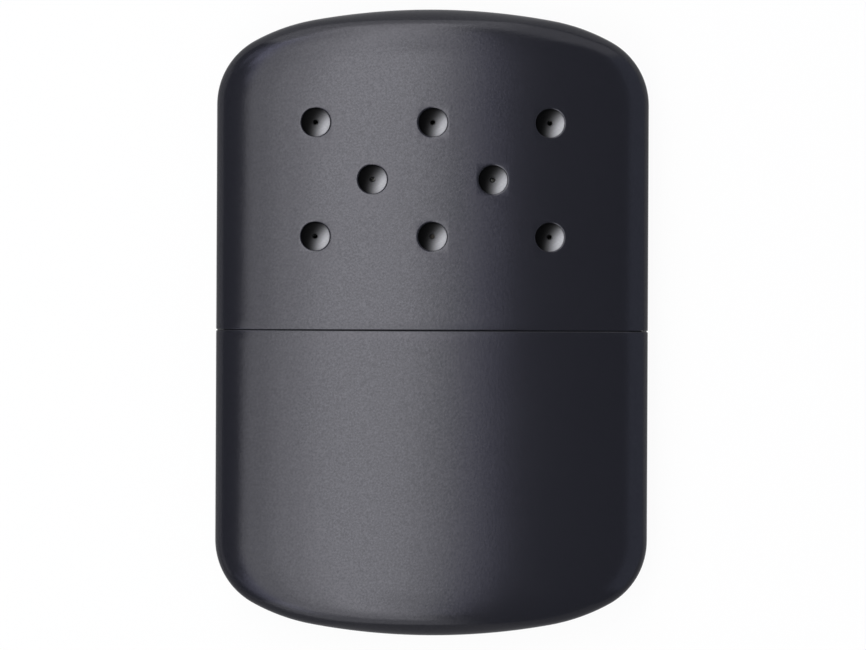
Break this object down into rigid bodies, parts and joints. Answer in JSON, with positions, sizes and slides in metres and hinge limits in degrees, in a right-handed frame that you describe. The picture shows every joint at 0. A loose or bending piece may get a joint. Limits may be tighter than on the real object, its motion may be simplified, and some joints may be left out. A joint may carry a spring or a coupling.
{
  "type": "catalytic hand warmer",
  "caption": "Flat oval refillable hand warmer: vented slide-off cap over a pull-off catalytic burner and a wadding-filled fuel case.",
  "frame": {"origin": "centre of the outline at the lowest line of the back, on which the warmer lies", "axes": "+Z out of the vented front face, +Y along the height towards the cap, +X to the right as the front is looked at with the cap at the top"},
  "size_m": [0.069, 0.1, 0.0138],
  "materials": {
    "case_coat": "satin black coat, very fine grain",
    "nickel_plate": "plain nickel plate, softly polished",
    "burner_steel": "dull steel, darkened by heat",
    "spring_steel": "bare spring strip",
    "gauze_steel": "woven stainless wire",
    "solder": "dull solder",
    "cotton": "loose cotton wadding",
    "felt": "dense felt",
    "glass_fibre": "glass wool with a grey platinum coat"
  },
  "bodies": {
    "case": {"lower_case": "case_coat", "tank_cover": "nickel_plate", "cover_solder_ring": "solder", "filler_neck": "nickel_plate", "neck_screen": "nickel_plate", "neck_felt": "felt", "wadding_upper": "cotton", "wadding_middle": "cotton", "wadding_lower": "cotton"},
    "burner": {"burner_sleeve": "burner_steel", "burner_hood": "burner_steel", "burner_top_frame": "nickel_plate", "mat_tray": "nickel_plate", "catalyst_mat": "glass_fibre", "side_gauze": "gauze_steel", "top_gauze": "gauze_steel", "front_grip_spring": "spring_steel", "rear_grip_spring": "spring_steel", "spring_rivets": "nickel_plate"},
    "cap": {"cap_shell": "case_coat", "cap_grip_band": "nickel_plate"}
  },
  "joints": [
    {"name": "cap_slide", "type": "slide", "parent": "case", "child": "cap", "axis": [0, 1, 0], "range_m": [0, 0.05]},
    {"name": "burner_slide", "type": "slide", "parent": "case", "child": "burner", "axis": [0, 1, 0], "range_m": [0, 0.012]}
  ]
}
